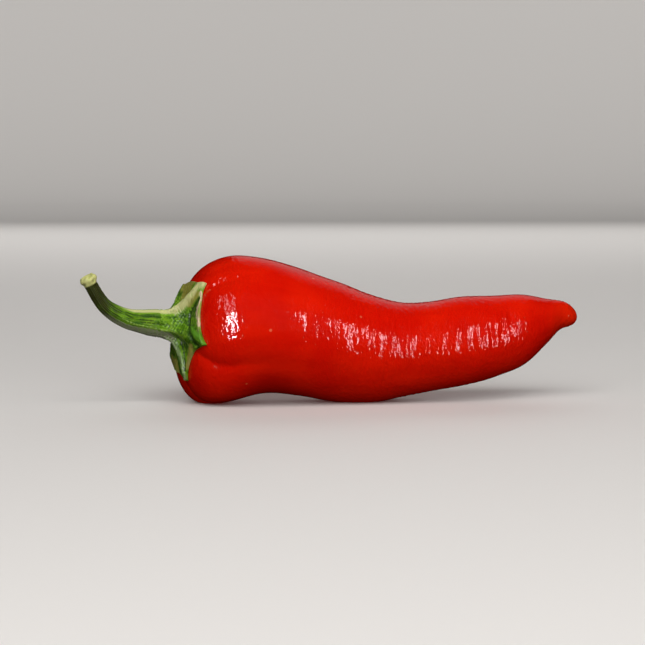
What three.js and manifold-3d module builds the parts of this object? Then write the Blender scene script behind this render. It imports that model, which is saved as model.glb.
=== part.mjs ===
// A ripe red chilli pepper, picked with its stalk and lying on its side.
// The fruit is one fleshy pod: a broad lobed shoulder, a belly that it rests on, a saddle in its back,
// and a tail that lifts off the ground and ends in a blunt nib. A green calyx sits on the shoulder
// like a five-pointed saucer, and narrows into the bent stalk that it grew from.
//
// Millimetres, +Z up. The origin is on the ground under the middle of the pepper, and +X runs from
// the stalk to the tip of the pod. An angle round the pod or the stalk is 0 on the near side (-Y) and
// 90 on top.
import * as THREE from "three";
import { mergeVertices } from "three/addons/utils/BufferGeometryUtils.js";
import Module from "manifold-3d";

// The pod from the middle of its shoulder to its tip. Each station gives a place of the core, and the
// distance from there to the skin upwards, downwards and to either side.
const POD = [
  { x: -31.7, y: 0.0, z: 15.9, up: 14.9, down: 15.9, side: 14.9 },
  { x: -26.3, y: 0.1, z: 15.1, up: 15.0, down: 16.75, side: 15.0 },
  { x: -20.3, y: -0.1, z: 15.2, up: 14.8, down: 15.5, side: 14.9 },
  { x: -14.4, y: -0.2, z: 14.75, up: 14.5, down: 13.1, side: 14.2 },
  { x: -7.4, y: -0.2, z: 13.8, up: 13.4, down: 12.6, side: 13.2 },
  { x: 0.5, y: -0.2, z: 12.5, up: 11.95, down: 12.7, side: 12.2 },
  { x: 7.5, y: -0.2, z: 11.0, up: 10.8, down: 11.4, side: 11.3 },
  { x: 13.4, y: -0.3, z: 10.65, up: 9.5, down: 10.05, side: 10.25 },
  { x: 19.2, y: -0.2, z: 11.35, up: 8.85, down: 9.65, side: 9.55 },
  { x: 27.0, y: 0.1, z: 12.15, up: 9.1, down: 9.2, side: 9.15 },
  { x: 33.8, y: 1.0, z: 12.85, up: 8.4, down: 8.1, side: 8.35 },
  { x: 39.6, y: 2.0, z: 14.05, up: 7.2, down: 7.0, side: 7.05 },
  { x: 44.4, y: 3.0, z: 15.65, up: 4.7, down: 4.4, side: 4.7 },
  { x: 47.2, y: 3.5, z: 16.65, up: 3.0, down: 2.4, side: 2.9 },
  { x: 50.8, y: 4.0, z: 16.4, up: 2.3, down: 2.1, side: 2.4 },
];
// The two rounded ends: how long the rounding is, and how full (2 is an ellipse).
const SHOULDER = { length: 11.6, fullness: 2.65 };
const NIB = { length: 2.6, fullness: 2 };
// The shoulder grew at a slant: its face leans back at the top and turns to the near side, in degrees,
// and the slant fades out along the pod. Its middle is drawn in a little, under the calyx.
const SLANT = { back: 9.5, near: 12.5, reach: 16 };
const DIMPLE = { depth: 1.7, width: 0.6 };
// The five creases between the lobes start at the calyx's points. Their depth is a share of the pod's
// radius: most of it fades out along the shoulder, and the tail's share stays to the tip.
const CREASES = [
  { angle: 50, depth: 0.075, reach: 13, tail: 0.004 },
  { angle: 140, depth: 0.06, reach: 13, tail: 0.006 },
  { angle: 215, depth: 0.05, reach: 12, tail: 0.004 },
  { angle: 281, depth: 0.06, reach: 12, tail: 0.004 },
  { angle: 334, depth: 0.08, reach: 15, tail: 0.016 },
];
const CREASE = { spread: 20, softness: 3.5, fade: 40 };

// The calyx's ribs: their angle on the stalk, their angle at the rim, and how far their point reaches.
const RIBS = [
  { stalk: 78, rim: 58, reach: 11.9 },
  { stalk: -27, rim: -14, reach: 12.4 },
  { stalk: -84, rim: -66, reach: 11.1 },
  { stalk: -152, rim: -140, reach: 11.2 },
  { stalk: 150, rim: 128, reach: 10.7 },
];
const CALYX = {
  bay: 9.7, // reach of the rim in the bays between the points
  point: 12, // half-width of a point at the rim, in degrees
  root: 24, // half-width of a rib where it leaves the stalk, in degrees
  crown: 6, // height over the shoulder at which the stalk begins to flare
  gap: 0.3, // clearance over the skin
  lip: 0.2, // how far the rim's edge is rounded out
};
// The flare's section on a rib and between ribs. It is a cubic curve from the crown to the rim, pulled
// by two points, each given as [distance from the axis, height over the skin].
const ON_RIB = { upper: [2.9, 3.3], lower: [4.5, 1.6], rim: 1.1 };
const OFF_RIB = { upper: [2.4, 1.6], lower: [3.6, 0.1], rim: 0.9 };

// The stalk past the crown: the distance out along it, its core's place, and its radius.
const STALK = [
  { out: 9.5, x: -39.2, y: -2.1, z: 17.1, radius: 2.1 },
  { out: 12.0, x: -41.6, y: -2.6, z: 17.5, radius: 1.95 },
  { out: 14.5, x: -43.9, y: -3.2, z: 18.4, radius: 1.75 },
  { out: 17.6, x: -46.3, y: -3.8, z: 20.2, radius: 1.4 },
  { out: 19.8, x: -47.5, y: -4.2, z: 22.0, radius: 1.25 },
  { out: 22.2, x: -48.6, y: -4.6, z: 24.2, radius: 1.15 },
  { out: 24.4, x: -49.5, y: -4.8, z: 26.2, radius: 1.15 },
];
const CROWN_RADIUS = 2.45;
const RIDGE = 0.08; // how far the five ribs stand out along the stalk, as a share of its radius
// The knob at the stalk's end, where it came off the plant: a thick collar round a dimpled scar.
// Each pair is the distance back from the end, and the radius.
const KNOB = [
  [0.3, 0],
  [0.25, 0.7],
  [0, 1.15],
  [0.3, 1.55],
  [1.0, 1.7],
  [1.9, 1.5],
];
const NECK = 2.9; // distance back from the end at which the stalk's own section begins

const AROUND_POD = 48;
const AROUND_STALK = 60;
const SHOULDER_RINGS = 12;
const BODY_RINGS = 24;
const NIB_RINGS = 5;
const STALK_RINGS = 10;
const FLARE_RINGS = 14;
const LINING_RINGS = 5;
const SLAB = { side: 200, height: 10 };

const { clamp, degToRad, lerp } = THREE.MathUtils;
const UP = new THREE.Vector3(0, 0, 1);

// A smooth curve through the stations' values of one key. Between two stations it is a cubic, whose
// slope at a station is the mean of the slopes on both sides, weighted towards the shorter side.
function along(stations, axis, key, at) {
  const last = stations.length - 1;
  const width = (i) => stations[i + 1][axis] - stations[i][axis];
  const rise = (i) => (stations[i + 1][key] - stations[i][key]) / width(i);
  const slope = (i) => {
    if (i === 0) return rise(0);
    if (i === last) return rise(last - 1);
    return (rise(i - 1) * width(i) + rise(i) * width(i - 1)) / (width(i - 1) + width(i));
  };
  let i = 0;
  while (i < last - 1 && at > stations[i + 1][axis]) i += 1;
  const t = (at - stations[i][axis]) / width(i);
  return (
    stations[i][key] * (1 + 2 * t) * (1 - t) ** 2 +
    stations[i + 1][key] * t * t * (3 - 2 * t) +
    width(i) * slope(i) * t * (1 - t) ** 2 -
    width(i) * slope(i + 1) * t * t * (1 - t)
  );
}

// The turn from one angle to another, between -180 and 180 degrees.
const turn = (from, to) => ((((to - from + 180) % 360) + 360) % 360) - 180;

const anglesRound = (count) => Array.from({ length: count }, (_, i) => (360 * i) / count);

// The share of its full section that the pod has at a distance from a rounded end, and the distance
// at which it has a given share.
const closing = (distance, end) =>
  (1 - (1 - clamp(distance / end.length, 0, 1)) ** end.fullness) ** (1 / end.fullness);
const opening = (share, end) =>
  end.length * (1 - (1 - share ** end.fullness) ** (1 / end.fullness));

const POD_START = POD[0].x;
const POD_END = POD[POD.length - 1].x;
const POD_LENGTH = POD_END - POD_START;

// The directions upwards and to the far side in the pod's section, at a distance from the shoulder.
function sectionFrame(distance) {
  const fade = Math.exp(-((distance / SLANT.reach) ** 2));
  const back = degToRad(SLANT.back) * fade;
  const near = degToRad(SLANT.near) * fade;
  const up = [Math.sin(back) * Math.cos(near), Math.sin(back) * Math.sin(near), Math.cos(back)];
  return {
    up: new THREE.Vector3(...up),
    far: new THREE.Vector3(-Math.sin(near), Math.cos(near), 0),
  };
}

const shoulderFrame = sectionFrame(0);
const OUTWARD = new THREE.Vector3().crossVectors(shoulderFrame.up, shoulderFrame.far);

// How deep the creases are at a point of the skin, as a share of the radius.
function creaseDepth(distance, angle) {
  const lasting = clamp((POD_LENGTH - distance) / CREASE.fade, 0, 1);
  let depth = 0;
  for (const crease of CREASES) {
    const off = Math.hypot(turn(crease.angle, angle), CREASE.softness) - CREASE.softness;
    const strength = crease.depth * Math.exp(-((distance / crease.reach) ** 2));
    depth += (strength + crease.tail * lasting) * Math.exp(-off / CREASE.spread);
  }
  return depth;
}

// A point of the pod's skin, by its distance from the shoulder's middle and its angle.
function skin(distance, angle) {
  const at = (key) => along(POD, "x", key, POD_START + distance);
  const sin = Math.sin(degToRad(angle));
  const cos = Math.cos(degToRad(angle));
  const upper = 0.5 + 0.5 * Math.tanh(2.5 * sin);
  const share = closing(distance, SHOULDER);
  const size = share * closing(POD_LENGTH - distance, NIB) * (1 - creaseDepth(distance, angle));
  const dimple = distance < SHOULDER.length ? DIMPLE.depth * Math.exp(-((share / DIMPLE.width) ** 2)) : 0;
  const { up, far } = sectionFrame(distance);
  return new THREE.Vector3(POD_START + distance, at("y"), at("z"))
    .addScaledVector(up, lerp(at("down"), at("up"), upper) * size * sin)
    .addScaledVector(far, -at("side") * size * cos)
    .addScaledVector(OUTWARD, -dimple);
}

// A closed surface through rings of points, all with the same number of points, and one point at
// either end. The rings follow each other towards +X on the outside.
function closedSurface(first, rings, last) {
  const around = rings[0].length;
  const points = [first, ...rings.flat(), last];
  const at = (ring, i) => 1 + ring * around + (i % around);
  const faces = [];
  for (let i = 0; i < around; i += 1) {
    faces.push(0, at(0, i), at(0, i + 1));
    faces.push(points.length - 1, at(rings.length - 1, i + 1), at(rings.length - 1, i));
    for (let ring = 0; ring < rings.length - 1; ring += 1) {
      faces.push(at(ring, i), at(ring + 1, i), at(ring, i + 1));
      faces.push(at(ring, i + 1), at(ring + 1, i), at(ring + 1, i + 1));
    }
  }
  const geometry = new THREE.BufferGeometry().setFromPoints(points);
  geometry.setIndex(faces);
  return geometry;
}

// Distances of the pod's rings from the shoulder's middle, close together over both rounded ends.
function podDistances() {
  const distances = [];
  for (let i = 1; i <= SHOULDER_RINGS; i += 1)
    distances.push(opening(Math.sin((Math.PI / 2) * (i / SHOULDER_RINGS)), SHOULDER));
  for (let i = 1; i <= BODY_RINGS; i += 1)
    distances.push(lerp(SHOULDER.length, POD_LENGTH - NIB.length, i / BODY_RINGS));
  for (let i = NIB_RINGS - 1; i >= 1; i -= 1)
    distances.push(POD_LENGTH - opening(Math.sin((Math.PI / 2) * (i / NIB_RINGS)), NIB));
  return distances;
}

const wasm = await Module();
wasm.setup();

// A geometry as a solid that can be cut.
function solidOf(geometry) {
  const bare = new THREE.BufferGeometry();
  bare.setAttribute("position", geometry.attributes.position);
  bare.setIndex(geometry.index);
  const joined = mergeVertices(bare);
  const mesh = new wasm.Mesh({
    numProp: 3,
    vertProperties: joined.attributes.position.array,
    triVerts: new Uint32Array(joined.index.array),
  });
  return new wasm.Manifold(mesh);
}

function geometryOf(solid) {
  const mesh = solid.getMesh();
  const geometry = new THREE.BufferGeometry();
  geometry.setAttribute("position", new THREE.BufferAttribute(mesh.vertProperties, 3));
  geometry.setIndex(new THREE.BufferAttribute(mesh.triVerts, 1));
  return geometry;
}

// The skin's formula dips about 0.4 mm below the ground under the shoulder and under the belly. The
// pepper rests on a small flat spot at each, so what lies below the ground is cut off.
function podGeometry() {
  const angles = anglesRound(AROUND_POD);
  const rings = podDistances().map((distance) => angles.map((angle) => skin(distance, angle)));
  const whole = closedSurface(skin(0, 0), rings, skin(POD_LENGTH, 0));
  const slab = new THREE.BoxGeometry(SLAB.side, SLAB.side, SLAB.height);
  slab.translate(0, 0, -SLAB.height / 2);
  return geometryOf(solidOf(whole).subtract(solidOf(slab)));
}

// How much of a rib there is at an angle, from 0 to 1, with t from 0 on the stalk to 1 at the rim.
function ribAt(angle, t) {
  const halfWidth = lerp(CALYX.root, CALYX.point, t);
  return Math.max(
    ...RIBS.map((rib) => Math.exp(-((turn(lerp(rib.stalk, rib.rim, t), angle) / halfWidth) ** 2))),
  );
}

// How far the calyx's rim reaches from the axis at an angle.
function rimRadius(angle) {
  let radius = CALYX.bay;
  for (const rib of RIBS)
    radius += (rib.reach - CALYX.bay) * Math.exp(-Math.abs(turn(rib.rim, angle)) / CALYX.point);
  return radius;
}

// A point over the shoulder, by its distance from the axis, its angle, and its height over the skin.
function overShoulder(radius, angle, height) {
  const distance = opening(radius / POD[0].side, SHOULDER);
  return skin(distance, angle).addScaledVector(OUTWARD, height);
}

// A cubic curve's value between a start and an end, pulled by two values in between.
const pulled = (start, first, second, end, t) =>
  start * (1 - t) ** 3 + 3 * first * t * (1 - t) ** 2 + 3 * second * t * t * (1 - t) + end * t ** 3;

const ribbed = (radius, angle) => radius * (1 + RIDGE * (ribAt(angle, 0) - 0.5));

const rimHeight = (angle) => lerp(OFF_RIB.rim, ON_RIB.rim, ribAt(angle, 1));

// A point of the flare, with t from 0 at the crown to 1 at the rim.
function flare(t, angle) {
  const rib = ribAt(angle, t);
  const pull = (key, i) => lerp(OFF_RIB[key][i], ON_RIB[key][i], rib);
  const start = ribbed(CROWN_RADIUS, angle);
  const radius = pulled(start, pull("upper", 0), pull("lower", 0), rimRadius(angle), t);
  const height = pulled(CALYX.crown, pull("upper", 1), pull("lower", 1), rimHeight(angle), t);
  return overShoulder(radius, angle, height);
}

// The stalk's core leaves the shoulder along the axis, and bends upwards past the crown.
const stalkStart = skin(0, 0);
const coreStations = [CALYX.crown / 2, CALYX.crown].map((out) => {
  const place = stalkStart.clone().addScaledVector(OUTWARD, out);
  return { out, x: place.x, y: place.y, z: place.z, radius: CROWN_RADIUS };
});
coreStations.push(...STALK);
const STALK_END = STALK[STALK.length - 1].out;

function corePoint(out) {
  const [x, y, z] = ["x", "y", "z"].map((key) => along(coreStations, "out", key, out));
  return new THREE.Vector3(x, y, z);
}

// A point of the stalk, by its distance out along the core, its distance from the core, and its angle.
function stalkPoint(out, radius, angle) {
  const step = 0.01;
  const direction = corePoint(out + step).sub(corePoint(out - step)).normalize();
  const far = new THREE.Vector3().crossVectors(direction, UP).normalize();
  const up = new THREE.Vector3().crossVectors(far, direction);
  return corePoint(out)
    .addScaledVector(up, radius * Math.sin(degToRad(angle)))
    .addScaledVector(far, -radius * Math.cos(degToRad(angle)));
}

// The calyx and stalk in one skin: from the scar over the knob, down the stalk, out over the flare,
// round the rim, and back to the axis along the underside that lies over the pod.
function stalkGeometry() {
  const angles = anglesRound(AROUND_STALK);
  const rings = [];
  for (const [back, radius] of KNOB.slice(1))
    rings.push(angles.map((angle) => stalkPoint(STALK_END - back, radius, angle)));
  for (let i = 0; i < STALK_RINGS; i += 1) {
    const out = lerp(STALK_END - NECK, CALYX.crown, i / (STALK_RINGS - 1));
    const radius = along(coreStations, "out", "radius", out);
    rings.push(angles.map((angle) => stalkPoint(out, ribbed(radius, angle), angle)));
  }
  for (let i = 1; i <= FLARE_RINGS; i += 1)
    rings.push(angles.map((angle) => flare(i / FLARE_RINGS, angle)));
  rings.push(
    angles.map((angle) =>
      overShoulder(rimRadius(angle) + CALYX.lip, angle, (rimHeight(angle) + CALYX.gap) / 2),
    ),
  );
  for (let i = 0; i < LINING_RINGS; i += 1)
    rings.push(
      angles.map((angle) => overShoulder(rimRadius(angle) * (1 - i / LINING_RINGS), angle, CALYX.gap)),
    );
  const scar = stalkPoint(STALK_END - KNOB[0][0], 0, 0);
  return closedSurface(scar, rings, overShoulder(0, 0, CALYX.gap));
}

const ripeSkin = new THREE.MeshStandardMaterial({ color: 0xc81405, roughness: 0.28, metalness: 0 });
const greenRind = new THREE.MeshStandardMaterial({ color: 0x5c8a2c, roughness: 0.55, metalness: 0 });

const pod = new THREE.Mesh(podGeometry(), ripeSkin);
pod.name = "pod";
const calyxAndStalk = new THREE.Mesh(stalkGeometry(), greenRind);
calyxAndStalk.name = "calyx_and_stalk";

const pepper = new THREE.Group();
pepper.add(pod, calyxAndStalk);

export default pepper;
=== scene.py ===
"""A ripe red chilli pepper on a pale floor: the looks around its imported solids.

The pepper is grown in two pieces, a red pod and a green calyx with its stalk. Both are made again here
as fine surfaces, from the same sizes as their solids. Sizes are in millimetres until a mesh is built.
"""

import bpy
import numpy as np
from mathutils import Matrix, Vector


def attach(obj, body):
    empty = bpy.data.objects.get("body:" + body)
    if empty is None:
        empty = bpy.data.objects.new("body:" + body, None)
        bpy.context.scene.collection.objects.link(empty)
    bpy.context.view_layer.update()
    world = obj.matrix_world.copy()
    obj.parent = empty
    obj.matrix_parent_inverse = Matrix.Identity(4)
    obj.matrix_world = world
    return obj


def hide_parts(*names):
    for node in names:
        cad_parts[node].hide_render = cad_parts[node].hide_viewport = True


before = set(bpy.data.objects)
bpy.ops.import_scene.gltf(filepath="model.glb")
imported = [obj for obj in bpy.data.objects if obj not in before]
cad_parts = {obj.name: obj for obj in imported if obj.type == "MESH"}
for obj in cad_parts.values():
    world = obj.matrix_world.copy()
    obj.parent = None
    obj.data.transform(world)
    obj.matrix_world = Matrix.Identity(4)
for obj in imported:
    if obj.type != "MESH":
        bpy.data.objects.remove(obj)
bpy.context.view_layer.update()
MM = 0.001

# The camera lies low in front of the pepper, a little to the side of the stalk, with a short
# telephoto lens, so that the pepper fills three quarters of the width.
CAMERA_AZIMUTH = np.radians(-6.0)
CAMERA_ELEVATION = np.radians(5.0)
CAMERA_DISTANCE = 461.0
CAMERA_TARGET = np.array([-2.5, -1.0, 16.15])

backwards = np.array([
    np.sin(CAMERA_AZIMUTH) * np.cos(CAMERA_ELEVATION),
    -np.cos(CAMERA_AZIMUTH) * np.cos(CAMERA_ELEVATION),
    np.sin(CAMERA_ELEVATION),
])
camera = bpy.data.objects.new("camera", bpy.data.cameras.new("camera"))
camera.data.lens = 85.0
camera.data.sensor_fit = "HORIZONTAL"
camera.data.sensor_width = 24.0
camera.data.clip_start = 0.01
camera.data.clip_end = 10.0
camera.location = (CAMERA_TARGET + backwards * CAMERA_DISTANCE) * MM
camera.rotation_euler = (-Vector(backwards)).to_track_quat("-Z", "Y").to_euler()
bpy.context.scene.collection.objects.link(camera)
bpy.context.scene.camera = camera


# The pod is the fruit: a hollow berry with a thick wall under a waxy red skin. It swelled from the
# shoulder outwards into lobes, so it has creases between them, and it dried a little after picking,
# so its skin is finely wrinkled round the tail.
POD_COLUMNS = ("x", "y", "z", "up", "down", "side")
POD = np.array([
    (-31.7, 0.0, 15.9, 14.9, 15.9, 14.9),
    (-26.3, 0.1, 15.1, 15.0, 16.75, 15.0),
    (-20.3, -0.1, 15.2, 14.8, 15.5, 14.9),
    (-14.4, -0.2, 14.75, 14.5, 13.1, 14.2),
    (-7.4, -0.2, 13.8, 13.4, 12.6, 13.2),
    (0.5, -0.2, 12.5, 11.95, 12.7, 12.2),
    (7.5, -0.2, 11.0, 10.8, 11.4, 11.3),
    (13.4, -0.3, 10.65, 9.5, 10.05, 10.25),
    (19.2, -0.2, 11.35, 8.85, 9.65, 9.55),
    (27.0, 0.1, 12.15, 9.1, 9.2, 9.15),
    (33.8, 1.0, 12.85, 8.4, 8.1, 8.35),
    (39.6, 2.0, 14.05, 7.2, 7.0, 7.05),
    (44.4, 3.0, 15.65, 4.7, 4.4, 4.7),
    (47.2, 3.5, 16.65, 3.25, 2.8, 3.0),
    (50.8, 4.0, 16.4, 2.65, 2.4, 2.5),
])
SHOULDER_LENGTH, SHOULDER_FULLNESS = 11.6, 2.65
NIB_LENGTH, NIB_FULLNESS = 3.3, 2.0
SLANT_BACK, SLANT_NEAR, SLANT_REACH = np.radians(9.5), np.radians(12.5), 16.0
DIMPLE_DEPTH, DIMPLE_WIDTH = 1.7, 0.6
CREASES = (  # angle, depth as a share of the radius, reach along the pod, share that stays to the tip
    (50, 0.075, 13, 0.004),
    (140, 0.06, 13, 0.006),
    (215, 0.05, 12, 0.004),
    (281, 0.06, 12, 0.004),
    (334, 0.08, 15, 0.016),
)
CREASE_SPREAD, CREASE_SOFTNESS, CREASE_FADE = 20.0, 3.5, 40.0
POD_LENGTH = POD[-1, 0] - POD[0, 0]
SHOULDER_ROWS, BODY_ROWS, TAIL_ROWS, NIB_ROWS, POD_AROUND = 60, 50, 350, 30, 200
BODY_END = 24.0


def along(places, values, at):
    """A cubic curve through values at rising places. Its slope at a place is the mean of the slopes
    on both sides, weighted towards the shorter side, and at the ends that of the first or last step."""
    step = np.diff(places)
    rise = np.diff(values) / step
    inner = (rise[:-1] * step[1:] + rise[1:] * step[:-1]) / (step[1:] + step[:-1])
    slope = np.concatenate([rise[:1], inner, rise[-1:]])
    i = np.clip(np.searchsorted(places, at, side="right") - 1, 0, len(places) - 2)
    t = (at - places[i]) / step[i]
    ends = values[i] * (1 + 2 * t) * (1 - t) ** 2 + values[i + 1] * t**2 * (3 - 2 * t)
    return ends + step[i] * t * (1 - t) * (slope[i] * (1 - t) - slope[i + 1] * t)


def closing(distance, length, fullness):
    """The share of its full section that a rounded end has at a distance from its pole: a quarter of a
    superellipse, which is an ellipse at fullness 2 and squarer above it."""
    return (1 - (1 - np.clip(distance / length, 0, 1)) ** fullness) ** (1 / fullness)


def opening(share, length, fullness):
    """The distance from the pole at which a rounded end has a share of its section: closing, inverted."""
    return length * (1 - (1 - share**fullness) ** (1 / fullness))


def turn(start, end):
    """The turn between two angles, in degrees, from -180 to 180."""
    return (end - start + 180) % 360 - 180


def bell(value, width):
    """A bell curve: 1 at zero, and 1/e at the width."""
    return np.exp(-((value / width) ** 2))


def section_frame(distance):
    """The directions upwards and to the far side in the pod's section. They are turned back and to the
    near side at the shoulder, by angles that fall off along the pod as a bell curve."""
    fade = bell(distance, SLANT_REACH)
    back, near = SLANT_BACK * fade, SLANT_NEAR * fade
    up = [np.sin(back) * np.cos(near), np.sin(back) * np.sin(near), np.cos(back)]
    far = [-np.sin(near), np.cos(near), np.zeros_like(near)]
    return np.stack(up, -1), np.stack(far, -1)


shoulder_up, shoulder_far = section_frame(np.array(0.0))
OUTWARD = np.cross(shoulder_up, shoulder_far)


def crease_depth(distance, angle):
    """The creases' depth as a share of the radius: for each, a rounded ridge line in the angle, times a
    bell curve along the shoulder plus a small share that runs on to the tip."""
    lasting = np.clip((POD_LENGTH - distance) / CREASE_FADE, 0, 1)
    depth = 0
    for crease, share, reach, tail in CREASES:
        off = np.hypot(turn(crease, angle), CREASE_SOFTNESS) - CREASE_SOFTNESS
        strength = share * bell(distance, reach) + tail * lasting
        depth = depth + strength * np.exp(-off / CREASE_SPREAD)
    return depth


def skin(distance, angle):
    """The pod's skin by distance from the shoulder's middle and angle round the core. The core's place
    and the distances upwards, downwards and sideways are curves through the stations; the section is
    an ellipse that goes over from the downward to the upward distance, closed at both ends, less the
    creases, and the shoulder's middle is drawn in by a bell curve."""
    distance, angle = np.broadcast_arrays(np.asarray(distance, float), np.asarray(angle, float))
    column = {
        name: along(POD[:, 0], POD[:, i], POD[0, 0] + distance)
        for i, name in enumerate(POD_COLUMNS)
    }
    sin, cos = np.sin(np.radians(angle)), np.cos(np.radians(angle))
    upper = 0.5 + 0.5 * np.tanh(2.5 * sin)
    share = closing(distance, SHOULDER_LENGTH, SHOULDER_FULLNESS)
    size = share * closing(POD_LENGTH - distance, NIB_LENGTH, NIB_FULLNESS)
    size = size * (1 - crease_depth(distance, angle))
    height = column["down"] + (column["up"] - column["down"]) * upper
    dimple = DIMPLE_DEPTH * bell(share, DIMPLE_WIDTH) * (distance < SHOULDER_LENGTH)
    up, far = section_frame(distance)
    core = np.stack([POD[0, 0] + distance, column["y"], column["z"]], -1)
    core = core + up * (height * size * sin)[..., None] - far * (column["side"] * size * cos)[..., None]
    return core - OUTWARD * dimple[..., None]


def waves(points, lengths, count, seed):
    """Uneven relief from -1 to 1: a sum of sine waves through space, whose crests lie about the first
    length apart along x, and vary over the other two lengths along y and z. The draws are seeded."""
    draw = np.random.default_rng(seed)
    share = draw.uniform(-1, 1, size=(count, 3))
    share[:, 0] = 1 + 0.4 * share[:, 0]
    number = 2 * np.pi * share / np.array(lengths)
    total = np.zeros(points.shape[:-1])
    for wave, start in zip(number, draw.uniform(0, 2 * np.pi, count)):
        total += np.sin(points @ wave + start)
    return np.clip(total / np.sqrt(count) / 1.5, -1, 1)


def rising(value, start, length):
    """A straight rise from 0 at the start to 1 after the length."""
    return np.clip((value - start) / length, 0, 1)


def falling(value, end, length):
    """A straight fall from 1 to 0 over the length before the end."""
    return np.clip((end - value) / length, 0, 1)


def eased(value, start, end):
    """A smooth rise from 0 at the start to 1 at the end: three squares less two cubes."""
    share = rising(value, start, end - start)
    return share * share * (3 - 2 * share)


def surface_normals(grid):
    """The outward normal at each point of a grid that closes round its second direction."""
    lengthwise = np.gradient(grid, axis=0)
    crosswise = np.roll(grid, -1, axis=1) - np.roll(grid, 1, axis=1)
    normal = np.cross(lengthwise, crosswise)
    return normal / np.maximum(np.linalg.norm(normal, axis=-1, keepdims=True), 1e-9)


def closed_mesh(name, first, grid, last, attributes):
    """A closed mesh from a grid of points that closes round its second direction, with a fan to a
    pole at either end. Each attribute is (name, values on the grid, value at the two poles)."""
    rows, around = grid.shape[:2]
    points = np.concatenate([first[None], grid.reshape(-1, 3), last[None]])
    index = 1 + np.arange(rows * around).reshape(rows, around)
    beside = np.roll(index, -1, axis=1)
    quads = np.stack([index[:-1], index[1:], beside[1:], beside[:-1]], -1).reshape(-1, 4)
    pole = len(points) - 1
    start = np.stack([np.zeros(around, int), index[0], beside[0]], -1)
    end = np.stack([np.full(around, pole), beside[-1], index[-1]], -1)
    mesh = bpy.data.meshes.new(name)
    mesh.from_pydata((points * MM).tolist(), [], [*start.tolist(), *quads.tolist(), *end.tolist()])
    mesh.shade_smooth()
    for label, values, at_poles in attributes:
        kind = "FLOAT_VECTOR" if values.ndim == 3 else "FLOAT"
        width = 3 if values.ndim == 3 else 1
        flat = np.concatenate([
            np.broadcast_to(at_poles[0], (1, width)),
            values.reshape(-1, width),
            np.broadcast_to(at_poles[1], (1, width)),
        ])
        layer = mesh.attributes.new(label, kind, "POINT")
        layer.data.foreach_set("vector" if width == 3 else "value", flat.astype(np.float32).ravel())
    piece = bpy.data.objects.new(name, mesh)
    bpy.context.scene.collection.objects.link(piece)
    return piece


def linear(code):
    """A colour's linear values with alpha, from its sRGB hex code."""
    srgb = np.array([int(code[i:i + 2], 16) / 255 for i in (1, 3, 5)])
    value = np.where(srgb <= 0.04045, srgb / 12.92, ((srgb + 0.055) / 1.055) ** 2.4)
    return (*value.tolist(), 1.0)


def add_node(tree, kind, settings, inputs):
    """Adds a node, sets its own settings, and sets or links each of its inputs."""
    node = tree.nodes.new(kind)
    for name, value in settings.items():
        setattr(node, name, value)
    for name, value in inputs.items():
        if isinstance(value, bpy.types.NodeSocket):
            tree.links.new(value, node.inputs[name])
        else:
            node.inputs[name].default_value = value
    return node


# Fine wrinkles of the drying skin run round the tail, one or two millimetres apart, and leave the
# taut shoulder and the cone before the tip nearly smooth. Broad lumps a centimetre or so across lie
# all over. Every wrinkle, lump, fold and furrow is pressed inwards from the formula's skin.
TAIL_START, TAIL_FULL = -10.0, 9.0
CONE_START, CONE_LENGTH, CONE_SMOOTHED = 26.0, 7.0, 0.85
TAUT_AT, TAUT_REACH = 20.0, 9.0
TAIL_WRINKLE, SHOULDER_WRINKLE, LUMP = 0.13, 0.02, 0.12
PIMPLE, PIMPLE_REACH = 0.05, 5.0
SMOOTH_AT_SHOULDER, SMOOTH_AT_TIP = 4.0, 1.0
FURROWS = ((50, 0.3), (140, 0.3), (215, 0.3), (281, 0.3), (334, 0.46))  # angle, depth
FURROW_WIDTH, FURROW_REACH = 4.0, 11.0
FOLD_WIDTH, FOLD_WANDER = 0.55, 0.5
FOLDS = (  # folds across the near side: x, angle, half-length as an angle, depth
    (-6.5, 18, 20, 0.10),
    (-4.2, -8, 22, 0.11),
    (2.8, 12, 22, 0.10),
    (4.5, -12, 22, 0.13),
    (6.8, 15, 18, 0.10),
    (8.9, 5, 35, 0.10),
    (12.0, 25, 18, 0.13),
    (15.6, 18, 28, 0.16),
    (14.4, -20, 18, 0.12),
    (19.1, 32, 18, 0.14),
    (21.6, 25, 25, 0.22),
    (24.6, 15, 28, 0.26),
    (27.2, 2, 26, 0.24),
    (28.8, 22, 24, 0.20),
    (31.0, 12, 18, 0.26),
    (33.2, 15, 16, 0.26),
    (35.4, 30, 18, 0.24),
)

pod_distance = np.concatenate([
    opening(np.sin(np.linspace(0, np.pi / 2, SHOULDER_ROWS + 1)[1:]), SHOULDER_LENGTH, SHOULDER_FULLNESS),
    np.linspace(SHOULDER_LENGTH, BODY_END, BODY_ROWS + 1)[1:],
    np.linspace(BODY_END, POD_LENGTH - NIB_LENGTH, TAIL_ROWS + 1)[1:],
    POD_LENGTH - opening(np.sin(np.linspace(np.pi / 2, 0, NIB_ROWS + 1)[1:-1]), NIB_LENGTH, NIB_FULLNESS),
])
pod_angle = np.arange(POD_AROUND) * 360 / POD_AROUND
pod_grid = skin(pod_distance[:, None], pod_angle[None])
tail = eased(pod_grid[..., 0], TAIL_START, TAIL_FULL)
wrinkle = 0.45 * waves(pod_grid, (2.2, 12.0, 12.0), 48, seed=3)
wrinkle = wrinkle + 0.55 * waves(pod_grid, (1.15, 5.0, 5.0), 64, seed=5)
patches = 0.6 + 0.4 * waves(pod_grid, (9.0, 9.0, 9.0), 24, seed=7)
patches = patches * (1 - CONE_SMOOTHED * rising(pod_grid[..., 0], CONE_START, CONE_LENGTH))
relief = (SHOULDER_WRINKLE + (TAIL_WRINKLE - SHOULDER_WRINKLE) * tail) * patches * (wrinkle - 1) / 2
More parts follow.
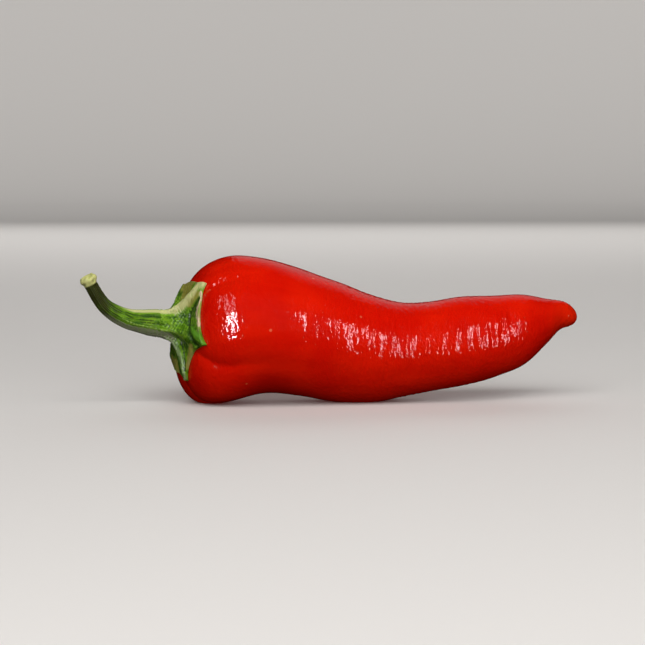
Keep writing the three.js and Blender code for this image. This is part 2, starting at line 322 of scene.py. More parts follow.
relief = relief + LUMP * (waves(pod_grid, (15.0, 11.0, 11.0), 32, seed=8) - 1) / 2
for x, middle, length, depth in FOLDS:
    wander = FOLD_WANDER * waves(pod_grid, (30.0, 7.0, 7.0), 12, seed=int(10 * x) + 90)
    bent = pod_grid[..., 0] - x + wander
    reach = bell(turn(middle, pod_angle[None]), length)
    relief = relief - depth * np.exp(-((bent / FOLD_WIDTH) ** 2) / 2) * reach
for crease, depth in FURROWS:
    furrow = np.exp(-np.abs(turn(crease, pod_angle[None])) / FURROW_WIDTH)
    relief = relief - depth * furrow * bell(pod_distance[:, None], FURROW_REACH)
nib = bell(POD_LENGTH - pod_distance, PIMPLE_REACH)[:, None]
relief = relief + PIMPLE * nib * waves(pod_grid, (1.1, 1.1, 1.1), 40, seed=9)
fade_at_ends = np.minimum(
    rising(pod_distance, 0.0, SMOOTH_AT_SHOULDER),
    falling(pod_distance, POD_LENGTH, SMOOTH_AT_TIP),
)[:, None]
pod_grid = pod_grid + surface_normals(pod_grid) * (relief * fade_at_ends)[..., None]
pod_grid[..., 2] = np.maximum(pod_grid[..., 2], 0)

share_of_length = np.broadcast_to(pod_distance[:, None] / POD_LENGTH, tail.shape)
tautness = np.broadcast_to(bell(pod_distance - TAUT_AT, TAUT_REACH)[:, None], tail.shape)
pod = closed_mesh(
    "pepper_pod",
    skin(0, 0),
    pod_grid,
    skin(POD_LENGTH, 0),
    [("along", share_of_length, (0.0, 1.0)), ("taut", tautness, (0.0, 0.0))],
)
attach(pod, "root")
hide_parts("pod")

# Ripe chilli skin is a thin clear wax over red flesh: a deep orange red that light enters a little,
# under a smooth glossy coat. The flesh shows streaks of about 17 by 4 mm, clouds of 11 mm, and a few
# pale specks 4 mm apart, and is more orange at the tip. The skin's cells are 0.05 mm across, too fine
# to show, so the relief that breaks its reflections up is drawn at 0.7 by 1.1 mm.
ripe = bpy.data.materials.new("waxy_ripe_chilli_skin")
ripe.use_nodes = True
tree = ripe.node_tree
tree.nodes.clear()
place = add_node(tree, "ShaderNodeTexCoord", {}, {}).outputs["Object"]
lengthwise = add_node(tree, "ShaderNodeMapping", {}, {"Vector": place, "Scale": (60.0, 260.0, 260.0)})
streaks = add_node(tree, "ShaderNodeTexNoise", {}, {
    "Vector": lengthwise.outputs["Vector"],
    "Scale": 1.0,
    "Detail": 4.0,
    "Roughness": 0.6,
})
clouds = add_node(tree, "ShaderNodeTexNoise", {}, {"Vector": place, "Scale": 90.0, "Detail": 3.0})
shade = add_node(tree, "ShaderNodeMapRange", {"interpolation_type": "SMOOTHSTEP"}, {
    "Value": clouds.outputs["Fac"],
    "From Min": 0.35,
    "From Max": 0.65,
})
red = add_node(tree, "ShaderNodeMix", {"data_type": "RGBA"}, {
    0: shade.outputs["Result"],
    6: linear("#D01002"),
    7: linear("#DC1803"),
})
streak_share = add_node(tree, "ShaderNodeMapRange", {}, {
    "Value": streaks.outputs["Fac"],
    "From Min": 0.45,
    "From Max": 0.75,
    "To Max": 0.5,
})
streaked = add_node(tree, "ShaderNodeMix", {"data_type": "RGBA"}, {
    0: streak_share.outputs["Result"],
    6: red.outputs[2],
    7: linear("#BE0801"),
})
from_shoulder = add_node(tree, "ShaderNodeAttribute", {"attribute_name": "along"}, {})
tip_share = add_node(tree, "ShaderNodeMapRange", {"interpolation_type": "SMOOTHSTEP"}, {
    "Value": from_shoulder.outputs["Fac"],
    "From Min": 0.9,
    "From Max": 1.0,
    "To Max": 0.6,
})
with_tip = add_node(tree, "ShaderNodeMix", {"data_type": "RGBA"}, {
    0: tip_share.outputs["Result"],
    6: streaked.outputs[2],
    7: linear("#D62404"),
})
cells = add_node(tree, "ShaderNodeTexVoronoi", {}, {"Vector": place, "Scale": 230.0})
speck = add_node(tree, "ShaderNodeMapRange", {"interpolation_type": "SMOOTHSTEP"}, {
    "Value": cells.outputs["Distance"],
    "From Min": 0.09,
    "From Max": 0.04,
    "To Max": 0.5,
})
few = add_node(tree, "ShaderNodeSeparateColor", {}, {"Color": cells.outputs["Color"]})
chosen = add_node(tree, "ShaderNodeMath", {"operation": "GREATER_THAN"}, {
    0: few.outputs["Red"],
    1: 0.7,
})
speck_share = add_node(tree, "ShaderNodeMath", {"operation": "MULTIPLY"}, {
    0: speck.outputs["Result"],
    1: chosen.outputs["Value"],
})
skin_colour = add_node(tree, "ShaderNodeMix", {"data_type": "RGBA"}, {
    0: speck_share.outputs["Value"],
    6: with_tip.outputs[2],
    7: linear("#E8835A"),
})
across = add_node(tree, "ShaderNodeMapping", {}, {"Vector": place, "Scale": (1500.0, 900.0, 900.0)})
fine = add_node(tree, "ShaderNodeTexNoise", {}, {
    "Vector": across.outputs["Vector"],
    "Scale": 1.0,
    "Detail": 1.0,
    "Roughness": 0.5,
    "Distortion": 0.5,
})
taut = add_node(tree, "ShaderNodeAttribute", {"attribute_name": "taut"}, {})
wrinkled = add_node(tree, "ShaderNodeMapRange", {}, {
    "Value": taut.outputs["Fac"],
    "To Min": 1.0,
    "To Max": 0.45,
})
bump = add_node(tree, "ShaderNodeBump", {}, {
    "Height": fine.outputs["Fac"],
    "Strength": wrinkled.outputs["Result"],
    "Distance": 0.00013,
})
wax = add_node(tree, "ShaderNodeBsdfPrincipled", {}, {
    "Base Color": skin_colour.outputs[2],
    "Roughness": 0.4,
    "IOR": 1.4,
    "Specular IOR Level": 0.0,
    "Subsurface Weight": 0.1,
    "Subsurface Radius": (1.0, 0.12, 0.06),
    "Subsurface Scale": 0.0012,
    "Coat Weight": 1.0,
    "Coat Roughness": 0.08,
    "Coat IOR": 1.4,
    "Normal": bump.outputs["Normal"],
    "Coat Normal": bump.outputs["Normal"],
})
add_node(tree, "ShaderNodeOutputMaterial", {}, {"Surface": wax.outputs["BSDF"]})
pod.data.materials.append(ripe)


# The calyx is the flower's green base, dried on over the shoulder, and the stalk grew out of it.
# Five ribs run down the stalk and out to the calyx's points, with thin bays between them, and the
# stalk ends in a pale lumpy knob where it broke off the plant.
RIBS = (  # angle on the stalk, angle at the rim, reach of its point from the axis
    (78, 58, 11.5),
    (-27, -12, 12.0),
    (-84, -66, 11.0),
    (-152, -140, 11.0),
    (150, 128, 10.5),
)
BAY = 8.8
POINT, ROOT = 13.0, 24.0  # a rib's half-width as an angle, at the rim and at the crown
CROWN, CROWN_RADIUS = 6.0, 2.45
GAP, LIP = 0.03, 0.12
ON_RIB = ((2.9, 3.3), (4.5, 1.6), 0.75)  # two pulling points as radius and height, the rim's height
OFF_RIB = ((2.4, 1.6), (3.6, 0.1), 0.5)
RIDGE = 0.08
KEEL, KEEL_AT, KEEL_SPREAD, KEEL_END, KEEL_LENGTH = 0.24, -72, 42, 15, 7
DROOP, DROOP_AT, DROOP_SPREAD = 0.95, -128, 45
WEB, WEB_AT, WEB_SPREAD = 0.4, 40, 15
STALK = np.array([  # distance out along the stalk, x, y, z, radius
    (9.5, -39.2, -2.1, 17.0, 2.15),
    (12.0, -41.6, -2.6, 17.4, 1.95),
    (14.5, -43.9, -3.2, 18.4, 1.75),
    (17.6, -46.4, -3.8, 20.3, 1.45),
    (19.8, -47.7, -4.2, 22.1, 1.35),
    (22.2, -48.9, -4.6, 24.3, 1.3),
    (24.4, -49.8, -4.8, 26.2, 1.25),
])
KNOB = np.array([  # distance back from the stalk's end, radius
    (0.3, 0.0),
    (0.25, 0.7),
    (0.0, 1.15),
    (0.3, 1.55),
    (0.9, 1.7),
    (1.6, 1.5),
    (2.4, 1.27),
])
GREEN_AROUND = 300
KNOB_ROWS, STALK_ROWS, FLARE_ROWS, LIP_ROWS, LINING_ROWS = 26, 110, 130, 8, 16
STALK_END = STALK[-1, 0]

stalk_start = skin(0, 0)
crown_stations = [
    (out, *(stalk_start + OUTWARD * out), CROWN_RADIUS)
    for out in (CROWN / 2, CROWN)
]
STALK_CORE = np.concatenate([crown_stations, STALK])


def rib_at(angle, t):
    """How much of a rib there is, from 0 to 1, with t from 0 on the stalk to 1 at the rim: the largest
    of five bell curves in the angle, which narrow from root to point."""
    half_width = ROOT + (POINT - ROOT) * t
    bells = [
        bell(turn(stalk + (rim - stalk) * t, angle), half_width)
        for stalk, rim, _ in RIBS
    ]
    return np.max(bells, axis=0)


def rim_radius(angle):
    """The rim's reach from the axis: that of the bays, plus a pointed peak for each of the five ribs,
    and a bell curve for the web on the near side of the top rib."""
    return BAY + WEB * bell(turn(WEB_AT, angle), WEB_SPREAD) + sum(
        (reach - BAY) * np.exp(-np.abs(turn(rim, angle)) / POINT)
        for _, rim, reach in RIBS
    )


def over_shoulder(radius, angle, height):
    """A point over the shoulder, by its distance from the axis and its height over the pod's skin."""
    distance = opening(np.minimum(radius / POD[0, 5], 1), SHOULDER_LENGTH, SHOULDER_FULLNESS)
    return skin(distance, angle) + OUTWARD * height[..., None]


def ribbed(radius, angle, out):
    """A radius of the stalk, raised on the ribs and lowered between them, and on the lower near side
    towards the crown by a keel, which is a bell curve in the angle."""
    keel = KEEL * falling(out, KEEL_END, KEEL_LENGTH) ** 2 * bell(turn(KEEL_AT, angle), KEEL_SPREAD)
    return radius * (1 + RIDGE * (rib_at(angle, 0) - 0.5) + keel)


def stalk_point(out, radius, angle):
    """A point round the stalk's core, which is a curve through the stations. The section stands square
    to the core, with its upward direction in a vertical plane."""
    core = np.stack([along(STALK_CORE[:, 0], STALK_CORE[:, i], out) for i in (1, 2, 3)], -1)
    ahead = np.stack([along(STALK_CORE[:, 0], STALK_CORE[:, i], out + 0.01) for i in (1, 2, 3)], -1)
    direction = (ahead - core) / np.linalg.norm(ahead - core, axis=-1, keepdims=True)
    far = np.cross(direction, (0.0, 0.0, 1.0))
    far /= np.linalg.norm(far, axis=-1, keepdims=True)
    up = np.cross(far, direction)
    sin, cos = np.sin(np.radians(angle)), np.cos(np.radians(angle))
    return core + up * (radius * sin)[..., None] - far * (radius * cos)[..., None]


def flare(t, angle):
    """The calyx's upper side and its height over the pod, with t from 0 at the crown to 1 at the rim.
    Radius and height are cubic curves pulled by two points, whose places go over from bay to rib with
    the rib's bell curve. The ribs on the lower far side droop, which lowers their points."""
    rib = rib_at(angle, t)
    weights = ((1 - t) ** 3, 3 * t * (1 - t) ** 2, 3 * t**2 * (1 - t), t**3)
    radii = [ribbed(CROWN_RADIUS, angle, CROWN)]
    lowered = 1 - DROOP * bell(turn(DROOP_AT, angle), DROOP_SPREAD)
    heights = [CROWN]
    for off, on in zip(OFF_RIB[:2], ON_RIB[:2]):
        radii.append(off[0] + (on[0] - off[0]) * rib)
        heights.append(off[1] + (on[1] * lowered - off[1]) * rib)
    radii.append(rim_radius(angle))
    heights.append(OFF_RIB[2] + (ON_RIB[2] - OFF_RIB[2]) * rib)
    radius = sum(weight * value for weight, value in zip(weights, radii))
    height = sum(weight * value for weight, value in zip(weights, heights))
    return over_shoulder(radius, angle, height), height


green_angle = np.arange(GREEN_AROUND) * 360 / GREEN_AROUND
angle = green_angle[None]
whole = np.ones_like(angle)

knob_path = np.concatenate([[0], np.cumsum(np.hypot(*np.diff(KNOB, axis=0).T))])
knob_at = np.linspace(0, knob_path[-1], KNOB_ROWS + 1)[1:-1, None]
knob_out = STALK_END - along(knob_path, KNOB[:, 0], knob_at)
knob_rows = stalk_point(knob_out, along(knob_path, KNOB[:, 1], knob_at) * whole, angle)
stalk_out = np.linspace(STALK_END - KNOB[-1, 0], CROWN, STALK_ROWS)[:, None]
stalk_radius = along(STALK_CORE[:, 0], STALK_CORE[:, 4], stalk_out)
stalk_rows = stalk_point(stalk_out, ribbed(stalk_radius, angle, stalk_out), angle)
flare_t = np.linspace(0, 1, FLARE_ROWS + 1)[1:, None]
flare_rows, flare_height = flare(flare_t, angle)
rim = rim_radius(angle)
rim_height = OFF_RIB[2] + (ON_RIB[2] - OFF_RIB[2]) * rib_at(angle, 1)
round_lip = np.linspace(0, np.pi, LIP_ROWS + 1)[1:, None]
lip_rows = over_shoulder(
    rim + LIP * np.sin(round_lip),
    angle,
    GAP + (rim_height - GAP) * (0.5 + 0.5 * np.cos(round_lip)),
)
lining_share = np.linspace(1, 0, LINING_ROWS + 1)[1:-1, None]
lining_rows = over_shoulder(rim * lining_share, angle, GAP * whole * np.ones_like(lining_share))
stretches = (knob_rows, stalk_rows, flare_rows, lip_rows, lining_rows)
green_grid = np.concatenate(stretches)


def by_row(*values):
    """One grid of values from those of the knob, stalk, flare, lip and lining, each spread round the
    rows of its stretch."""
    return np.concatenate([
        np.broadcast_to(value, rows.shape[:2])
        for value, rows in zip(values, stretches)
    ])


# The surface's features are drawn as lines over it, by station and angle: ridges along the ribs,
# grooves beside them that are also darkened with painted shade, thin membranes between them, a curled
# pale margin, and dark stripes down the stalk. The station runs from 0 at the knob to 1 at the crown and
# 2 at the rim.
KNOB_PALE_FROM, KNOB_PALE_FULL = 2.5, 1.5
station = by_row(
    np.linspace(0, 0.15, len(knob_rows))[:, None],
    np.linspace(0.15, 1, len(stalk_rows))[:, None],
    1 + flare_t,
    2 + 0.1 * round_lip,
    3,
)


def near_line(points, width):
    """How near the surface is to a line, as a bell curve of the distance. The line runs evenly in
    station and angle from each point to the next."""
    places = np.array(points, float)
    steps = np.linspace(0, len(places) - 1, 12 * len(places))
    rows, columns = (np.interp(steps, np.arange(len(places)), places[:, i]) for i in (0, 1))
    rows = np.searchsorted(station[:, 0], rows)
    columns = np.round(columns * GREEN_AROUND / 360).astype(int) % GREEN_AROUND
    distance = np.full(green_grid.shape[:2], 1e3)
    for point in green_grid[rows, columns]:
        distance = np.minimum(distance, np.linalg.norm(green_grid - point, axis=-1))
    return bell(distance, width)


t = by_row(0, 0, flare_t, 1, 1)
rib = rib_at(angle, t)
stalk_reach = by_row(knob_out, stalk_out, CROWN * (1 - flare_t), 0, 0)
knob = eased(stalk_reach, STALK_END - KNOB_PALE_FROM, STALK_END - KNOB_PALE_FULL)
edge = by_row(0, 0, rising(flare_t, 0.93, 0.07), 1, 1)
uneven = waves(green_grid, (0.8, 0.8, 0.8), 48, seed=36)
broad = waves(green_grid, (2.5, 2.5, 2.5), 32, seed=37)

top_rib = np.maximum(
    rising(station, 0.38, 0.35) * near_line(
        [(0.40, 68), (0.53, 70), (0.72, 69), (0.86, 67), (1.05, 66), (1.22, 63), (1.42, 59)],
        0.75,
    ),
    near_line([(1.42, 60), (1.63, 56), (1.78, 56), (1.85, 58), (1.92, 60), (2.0, 59)], 1.3),
)
side_ridge = near_line(
    [(0.30, 20), (0.45, 5), (0.57, -7), (0.69, -18), (0.83, -25), (1.0, -31), (1.20, -29), (1.35, -24),
     (1.53, -20), (1.72, -20), (1.85, -24), (1.92, -25)],
    0.28,
)
lobe = near_line([(1.80, 0), (1.88, -3), (1.95, -6), (2.02, -10), (2.12, -12)], 0.85)
near_rib = near_line(
    [(1.25, -68), (1.43, -66), (1.63, -61), (1.77, -58), (1.89, -58), (1.98, -61), (2.06, -65)],
    0.6,
)
far_ribs = np.maximum(
    near_line([(1.1, -152), (1.5, -148), (1.8, -144), (2.05, -140)], 0.65),
    near_line([(1.1, 150), (1.5, 141), (1.8, 134), (2.05, 128)], 0.65),
)
# Painted shade: a near black line in the shadowed gap below the lower near rib.
gap_in_shade = near_line([(1.35, -80), (1.55, -77), (1.70, -76), (1.82, -79), (1.92, -84)], 0.7)
# Real sunk grooves beside the ribs, whose dark green colour is painted shade in the recesses.
grooves_and_painted_shade = np.max([
    gap_in_shade,
    near_line([(1.50, 76), (1.66, 73), (1.78, 68), (1.87, 69), (1.94, 71), (1.99, 73)], 0.32),
    near_line(
        [(2.0, 44), (1.93, 42), (1.83, 37), (1.72, 32), (1.68, 22), (1.72, 8), (1.79, -3), (1.86, -12),
         (1.93, -16), (1.99, -17), (2.07, -18)],
        0.5,
    ),
    near_line([(1.50, -41), (1.64, -49), (1.81, -49), (1.92, -53), (1.99, -58)], 0.3),
    bell(t - 0.76, 0.12) * (1 - rib) * by_row(0, 0, 1, 0, 0) * bell(turn(176, angle), 75),
], axis=0)
membranes = np.max([
    near_line([(1.75, 50), (1.85, 49), (1.94, 50)], 0.9),
    near_line([(1.94, -24), (1.96, -31), (1.97, -41), (2.02, -50)], 0.8),
    near_line([(1.99, -84), (1.93, -88), (1.90, -100), (1.95, -116), (1.95, -128)], 1.1),
    near_line([(1.97, 118), (1.93, 103), (1.80, 108), (1.84, 92), (1.97, 88)], 1.6),
    rising(t, 0.85, 0.1) * (1 - rib) * bell(turn(180, angle), 45) * by_row(0, 0, 1, 1, 1),
], axis=0)
broad_margin = near_line([(2.02, 48), (1.98, 34), (1.96, 24), (1.97, 16), (2.01, 6)], 0.55)
thin_margin = edge * (0.75 + 0.25 * uneven) * (1 - 0.8 * rib)
lower_face = bell(turn(-66, angle), 40) * rising(station, 0.25, 0.3) * falling(station, 1.6, 0.3)
lower_line = near_line(
    [(0.45, -78), (0.62, -72), (0.75, -68), (0.90, -72), (1.05, -76), (1.38, -70)],
    0.3,
)
# Painted shade: the stalk's lower far side and the crown under it are darkened to a shadowed brown.
painted_shade_underside = bell(turn(-125, angle), 32) * falling(station, 1.1, 0.3)
stripes = np.max([
    near_line([(0.24, 22), (0.33, 30), (0.45, 40), (0.56, 32), (0.66, 16), (0.76, 9), (0.90, 6)], 0.24),
    near_line([(0.50, 52), (0.62, 40), (0.72, 33), (0.85, 29), (1.0, 27)], 0.16),
    near_line([(0.72, -2), (0.85, -6), (1.0, -8), (1.15, -6)], 0.16),
    near_line([(0.50, 110), (0.75, 104), (1.0, 102)], 0.22),
    near_line([(0.45, 150), (0.75, 168), (1.05, 170)], 0.22),
    near_line([(0.45, -172), (0.75, -178), (1.05, -176)], 0.18),
], axis=0)

# The fibres are waves round the stalk, whose phases drift slowly along it. Ridges stand out from the
# surface and hollows sink into it, by heights and depths in millimetres, and never past its lining.
STRIATION_COUNTS, STRIATION_SCALE = (17, 23, 29, 38, 47, 61), 2.2
FIBRE_DEPTH, UNEVEN_DEPTH, BROAD_DEPTH, KNOB_LUMP = 0.04, 0.05, 0.08, 0.2
row_step = np.linalg.norm(np.diff(green_grid, axis=0), axis=-1).mean(axis=1)
path = np.concatenate([[0], np.cumsum(row_step)])[:, None]
draw = np.random.default_rng(21)
striation = np.zeros(green_grid.shape[:2])
for count in STRIATION_COUNTS:
    start, drift, pace = draw.uniform(0, 2 * np.pi), draw.uniform(0.6, 1.6), draw.uniform(4, 9)
    striation += np.cos(np.radians(angle) * count + start + drift * np.sin(path / pace + start))
striation = np.clip(striation / STRIATION_SCALE, -1, 1)

green_normal = surface_normals(green_grid)
open_side = by_row(1, 1, 1, falling(round_lip, 1.6, 1.6), 0)
raised = (
    (0.22, top_rib * rising(station, 1.0, 0.4)),
    (0.12, side_ridge),
    (0.25, lobe),
    (0.30, near_rib),
    (0.30, far_ribs),
)
sunk = (
    (0.38, grooves_and_painted_shade),
    (0.10, membranes * (1 - grooves_and_painted_shade)),
    (0.07, stripes),
)
relief = FIBRE_DEPTH * (striation - 1) * (1 - knob) * (1 - 0.6 * edge)
relief = relief + sum(height * shape for height, shape in raised)
relief = relief - sum(depth * shape for depth, shape in sunk)
relief = relief + UNEVEN_DEPTH * uneven * by_row(0, 0.15, 1, 0.3, 0)
relief = relief + BROAD_DEPTH * broad * by_row(0, 0, 1, 0.3, 0)
room = by_row(1.0, 1.0, 0.7 * (flare_height - GAP), 0.1, 0)
relief = np.maximum(relief, -room)
lumps = waves(green_grid, (1.9, 1.9, 1.9), 16, seed=34)
relief = relief + KNOB_LUMP * knob * (lumps - 0.4)
green_grid = green_grid + green_normal * (relief * open_side)[..., None]

# The grain is the place on a straight stalk of 2 mm radius, so that fibres follow the real one's bend.
# Each mask says where one colour of the rind lies.
turned = np.radians(angle)
grain = np.stack([
    2.0 * np.cos(turned) * np.ones_like(path),
    2.0 * np.sin(turned) * np.ones_like(path),
    path * np.ones_like(turned),
], -1)
browned = falling(station - 0.05 * broad, 0.70, 0.42)
masks = {
    "lower_face": lower_face * (0.85 + 0.25 * uneven + 0.3 * striation),
    # painted shade under the stalk
    "painted_shade_underside": painted_shade_underside,
    "toward_knob": browned * (0.55 + 0.45 * bell(turn(-20, angle), 130)),
    "membranes": membranes * (0.9 + 0.25 * uneven),
    "near_rib": np.maximum(near_rib, far_ribs) * (0.9 + 0.3 * uneven),
    "lower_line": lower_line * (0.7 + 0.5 * broad) * (1 - knob),
    "lobe": lobe * (0.9 + 0.3 * uneven),
    "stripes": stripes * (0.8 + 0.4 * broad) * (1 - knob),
    "side_ridge": side_ridge * (0.8 + 0.3 * uneven) * rising(station, 0.4, 0.3),
    "top_rib": top_rib * (0.95 + 0.35 * uneven * rising(station, 1.0, 0.4)),
    "grooves_and_painted_shade": grooves_and_painted_shade * (0.85 + 0.35 * uneven),
    "gap_in_shade": gap_in_shade,
    "thin_margin": thin_margin,
    "broad_margin": broad_margin * (0.85 + 0.3 * uneven),
    "mottle": np.clip(1.1 * uneven + 0.3 * broad, 0, 1) * by_row(0, 0, rising(flare_t, 0, 0.25), 1, 1),
    "flecks": np.clip(-1.2 * uneven - 0.2, 0, 1) * by_row(0, 0.3, 1, 0.5, 0),
    "knob": knob,
    "dimples": knob * np.clip(-lumps * 1.3, 0, 1),
}

green = closed_mesh(
    "pepper_calyx_and_stalk",
    stalk_point(np.array(STALK_END - KNOB[0, 0]), np.array(0.0), np.array(0.0)),
    green_grid,
    over_shoulder(np.array(0.0), np.array(0.0), np.array(GAP)),
    [
        ("grain", grain, ((0.0, 0.0, 0.0), (0.0, 0.0, float(path[-1, 0])))),
        *((name, mask, (float(name == "knob"), 0.0)) for name, mask in masks.items()),
    ],
)
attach(green, "root")
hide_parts("calyx_and_stalk")

# The rind of the calyx and stalk is a firm green skin with fibres that run lengthwise. It is satin,
# paler on the ridges, browned towards the knob, and corky where it broke off the plant, with painted
# shade darkening its grooves and recesses and the stalk's underside. Real fibres are about 0.1 mm
# thick, too fine to show, so they are drawn at 0.6 by 6 mm.
rind = bpy.data.materials.new("fibrous_green_rind")
rind.use_nodes = True
tree = rind.node_tree
tree.nodes.clear()

grain_place = add_node(tree, "ShaderNodeAttribute", {"attribute_name": "grain"}, {}).outputs["Vector"]
fibres_place = add_node(tree, "ShaderNodeMapping", {}, {"Vector": grain_place, "Scale": (1.6, 1.6, 0.16)})
fibres = add_node(tree, "ShaderNodeTexNoise", {}, {
    "Vector": fibres_place.outputs["Vector"],
    "Scale": 1.0,
    "Detail": 4.0,
    "Roughness": 0.62,
}).outputs["Fac"]
blotch = add_node(tree, "ShaderNodeTexNoise", {}, {
    "Vector": grain_place,
    "Scale": 0.7,
    "Detail": 3.0,
}).outputs["Fac"]
fibre_share = add_node(tree, "ShaderNodeMapRange", {"interpolation_type": "SMOOTHSTEP"}, {
    "Value": fibres,
    "From Min": 0.38,
    "From Max": 0.60,
})
fibrous = add_node(tree, "ShaderNodeMix", {"data_type": "RGBA"}, {
    0: fibre_share.outputs["Result"],
    6: linear("#2E5407"),
    7: linear("#679410"),
})
blotch_share = add_node(tree, "ShaderNodeMapRange", {"interpolation_type": "SMOOTHSTEP"}, {
    "Value": blotch,
    "From Min": 0.45,
    "From Max": 0.70,
    "To Max": 0.45,
})
colour = add_node(tree, "ShaderNodeMix", {"data_type": "RGBA"}, {
    0: blotch_share.outputs["Result"],
    6: fibrous.outputs[2],
    7: linear("#84A81A"),
}).outputs[2]
LAYERS = (  # mask, where it begins to show and is full, its largest share, colour
    ("flecks", 0.1, 0.8, 0.5, "#8DB53C"),
    ("mottle", 0.1, 0.7, 0.6, "#254A0A"),
    ("lower_face", 0.25, 0.65, 0.92, "#83846A"),
    # painted shade under the stalk
    ("painted_shade_underside", 0.3, 0.9, 0.8, "#3A3420"),
    ("toward_knob", 0.1, 0.9, 0.94, "#2C280B"),
    ("membranes", 0.2, 0.7, 0.9, "#9C9442"),
    ("near_rib", 0.3, 0.9, 0.8, "#7F9062"),
    ("lower_line", 0.3, 0.9, 0.6, "#98A184"),
    ("lobe", 0.3, 0.8, 0.8, "#5C9420"),
    ("stripes", 0.3, 0.8, 0.75, "#26380A"),
    ("side_ridge", 0.3, 0.9, 0.7, "#93B04E"),
    ("top_rib", 0.3, 0.85, 0.9, "#CCC98A"),
    # painted shade: dark green in the grooves and recesses
    ("grooves_and_painted_shade", 0.25, 0.75, 0.88, "#213C0C"),
    # painted shade: near black in the gap below the lower near rib
    ("gap_in_shade", 0.3, 0.7, 0.9, "#101A06"),
    ("thin_margin", 0.3, 0.9, 0.7, "#A89A5C"),
    ("broad_margin", 0.25, 0.75, 0.9, "#D8BE9E"),
    ("knob", 0.2, 0.8, 1.0, "#C9C881"),
    ("dimples", 0.2, 0.9, 0.6, "#8E9443"),
)
for name, first, full, top, code in LAYERS:
    layer_mask = add_node(tree, "ShaderNodeAttribute", {"attribute_name": name}, {})
    layer_share = add_node(tree, "ShaderNodeMapRange", {"interpolation_type": "SMOOTHSTEP"}, {
        "Value": layer_mask.outputs["Fac"],
        "From Min": first,
        "From Max": full,
        "To Max": top,
    })
    colour = add_node(tree, "ShaderNodeMix", {"data_type": "RGBA"}, {
        0: layer_share.outputs["Result"],
        6: colour,
        7: linear(code),
    }).outputs[2]
fibre_bump = add_node(tree, "ShaderNodeBump", {}, {"Height": fibres, "Strength": 0.6, "Distance": 0.0001})
rind_skin = add_node(tree, "ShaderNodeBsdfPrincipled", {}, {
    "Base Color": colour,
    "Roughness": 0.36,
    "IOR": 1.45,
    "Specular IOR Level": 0.2,
    "Subsurface Weight": 0.08,
    "Subsurface Radius": (0.5, 0.8, 0.2),
    "Subsurface Scale": 0.0006,
    "Normal": fibre_bump.outputs["Normal"],
})
add_node(tree, "ShaderNodeOutputMaterial", {}, {"Surface": rind_skin.outputs["BSDF"]})
green.data.materials.append(rind)


# The floor is a pale matte sweep: a disc that curves up into a wall all round, so every view has
# the same plain ground and no edge behind the pepper.
FLOOR_RADIUS, SWEEP_RADIUS, WALL_HEIGHT = 1.1, 0.5, 1.2
FLOOR_RINGS, SWEEP_RINGS, FLOOR_AROUND = 10, 24, 96
sweep = np.linspace(0, np.pi / 2, SWEEP_RINGS)
reach = np.concatenate([
    np.linspace(0, FLOOR_RADIUS, FLOOR_RINGS + 2)[1:-1],
    FLOOR_RADIUS + SWEEP_RADIUS * np.sin(sweep),
    [FLOOR_RADIUS + SWEEP_RADIUS],
])
rise = np.concatenate([np.zeros(FLOOR_RINGS), SWEEP_RADIUS * (1 - np.cos(sweep)), [WALL_HEIGHT]])
around = np.radians(np.arange(FLOOR_AROUND) * 360 / FLOOR_AROUND)
floor_grid = np.stack([
    reach[:, None] * np.cos(around),
    reach[:, None] * np.sin(around),
    rise[:, None] * np.ones_like(around),
], -1)
index = 1 + np.arange(floor_grid[..., 0].size).reshape(len(reach), -1)
beside = np.roll(index, -1, axis=1)
quads = np.stack([index[:-1], index[1:], beside[1:], beside[:-1]], -1).reshape(-1, 4).tolist()
middle = np.stack([np.zeros(len(around), int), index[0], beside[0]], -1).tolist()
floor_mesh = bpy.data.meshes.new("floor_sweep")
floor_mesh.from_pydata([(0, 0, 0), *floor_grid.reshape(-1, 3).tolist()], [], middle + quads)
floor_mesh.shade_smooth()
floor = bpy.data.objects.new("floor_sweep", floor_mesh)
bpy.context.scene.collection.objects.link(floor)
# The floor throws no light or reflection back on the pepper, whose gloss stays as deep a red as over
# a dark table.
floor.visible_glossy = False
floor.visible_diffuse = False

card = bpy.data.materials.new("pale_matte_card")
card.use_nodes = True
tree = card.node_tree
tree.nodes.clear()
card_skin = add_node(tree, "ShaderNodeBsdfPrincipled", {}, {
    "Base Color": linear("#E2DEDA"),
    "Roughness": 0.7,
})
add_node(tree, "ShaderNodeOutputMaterial", {}, {"Surface": card_skin.outputs["BSDF"]})
floor.data.materials.append(card)


# Plain studio light. Soft boxes above, low in front and behind light the pepper through polarisers,
# so they leave no reflection on it. Narrow strips at both sides and faint sheens from behind do the
# opposite: they add no light to the flesh, and show only as highlights on the wax and the rind.
LIGHT_DISTANCE = 0.8


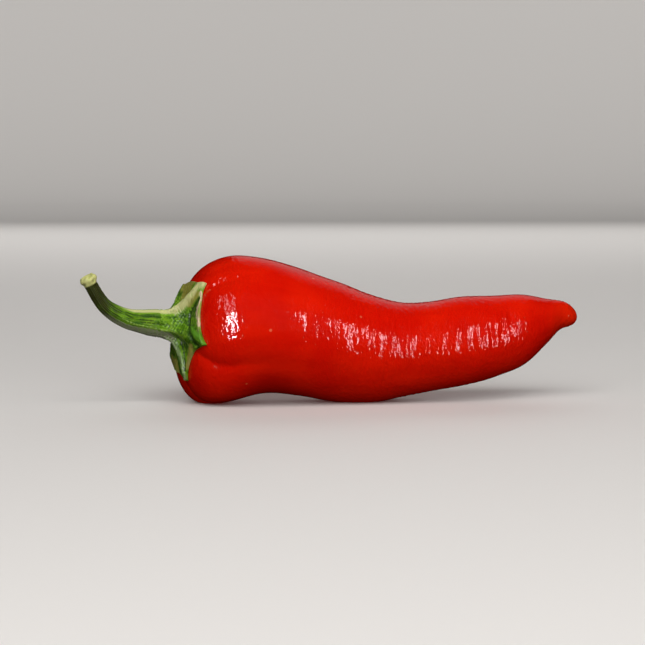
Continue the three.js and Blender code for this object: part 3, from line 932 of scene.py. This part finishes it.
def softbox(name, low, high, width, radiance, in_gloss):
    """A strip of light between two places at one distance from the pepper, each given as azimuth and
    elevation, and facing it. Its power is its radiance times its area times pi."""
    ends = []
    for azimuth, elevation in (low, high):
        turned, raised = np.radians(azimuth), np.radians(elevation)
        ends.append(Vector((
            np.sin(turned) * np.cos(raised),
            -np.cos(turned) * np.cos(raised),
            np.sin(raised),
        )) * LIGHT_DISTANCE)
    middle, length = (ends[0] + ends[1]) / 2, (ends[1] - ends[0]).length
    facing, upwards = middle.normalized(), (ends[1] - ends[0]).normalized()
    light = bpy.data.lights.new(name, "AREA")
    light.shape = "RECTANGLE"
    light.size = width
    light.size_y = length
    light.energy = radiance * np.pi * width * length
    box = bpy.data.objects.new(name, light)
    box.location = middle
    box.rotation_euler = Matrix((upwards.cross(facing), upwards, facing)).transposed().to_euler()
    box.visible_camera = False
    box.visible_glossy = in_gloss
    box.visible_diffuse = not in_gloss
    bpy.context.scene.collection.objects.link(box)


softbox("wide_softbox", (-4, 17), (-4, 70), 0.9, 2.75, False)
softbox("low_softbox", (10, 3), (10, 17), 0.8, 3.5, False)
softbox("back_fill", (176, 8), (176, 50), 0.9, 1.2, False)
softbox("left_strip_low", (-31, -4), (-50, 28), 0.10, 60.0, True)
softbox("left_strip_high", (-50, 28), (-84, 48), 0.05, 12.0, True)
softbox("right_strip", (38, -14), (42, 34), 0.06, 23.0, True)
softbox("back_sheen_low", (163, 18), (163, 42), 0.5, 0.14, True)
softbox("back_sheen_middle", (163, 18), (163, 53), 0.5, 0.12, True)
softbox("back_sheen_high", (163, 18), (163, 63), 0.5, 0.09, True)

# The wall wash hangs over the far floor and faces away from the pepper, so it only lights the sweep
# behind it.
WASH_LENGTH, WASH_WIDTH, WASH_RADIANCE = 2.4, 0.3, 2.5
wash = bpy.data.lights.new("wall_wash", "AREA")
wash.shape = "RECTANGLE"
wash.size = WASH_LENGTH
wash.size_y = WASH_WIDTH
wash.energy = WASH_RADIANCE * np.pi * WASH_LENGTH * WASH_WIDTH
wash_box = bpy.data.objects.new("wall_wash", wash)
wash_box.location = (0.0, 0.95, 0.7)
wash_box.rotation_euler = Vector((0.0, 1.0, -0.9)).to_track_quat("-Z", "Y").to_euler()
wash_box.visible_camera = False
wash_box.visible_glossy = False
bpy.context.scene.collection.objects.link(wash_box)

world = bpy.data.worlds.new("pale_surround")
world.use_nodes = True
world.node_tree.nodes["Background"].inputs["Color"].default_value = linear("#F2EEEA")
world.node_tree.nodes["Background"].inputs["Strength"].default_value = 0.12
world.cycles_visibility.glossy = False
bpy.context.scene.world = world
bpy.context.scene.view_settings.view_transform = "Standard"
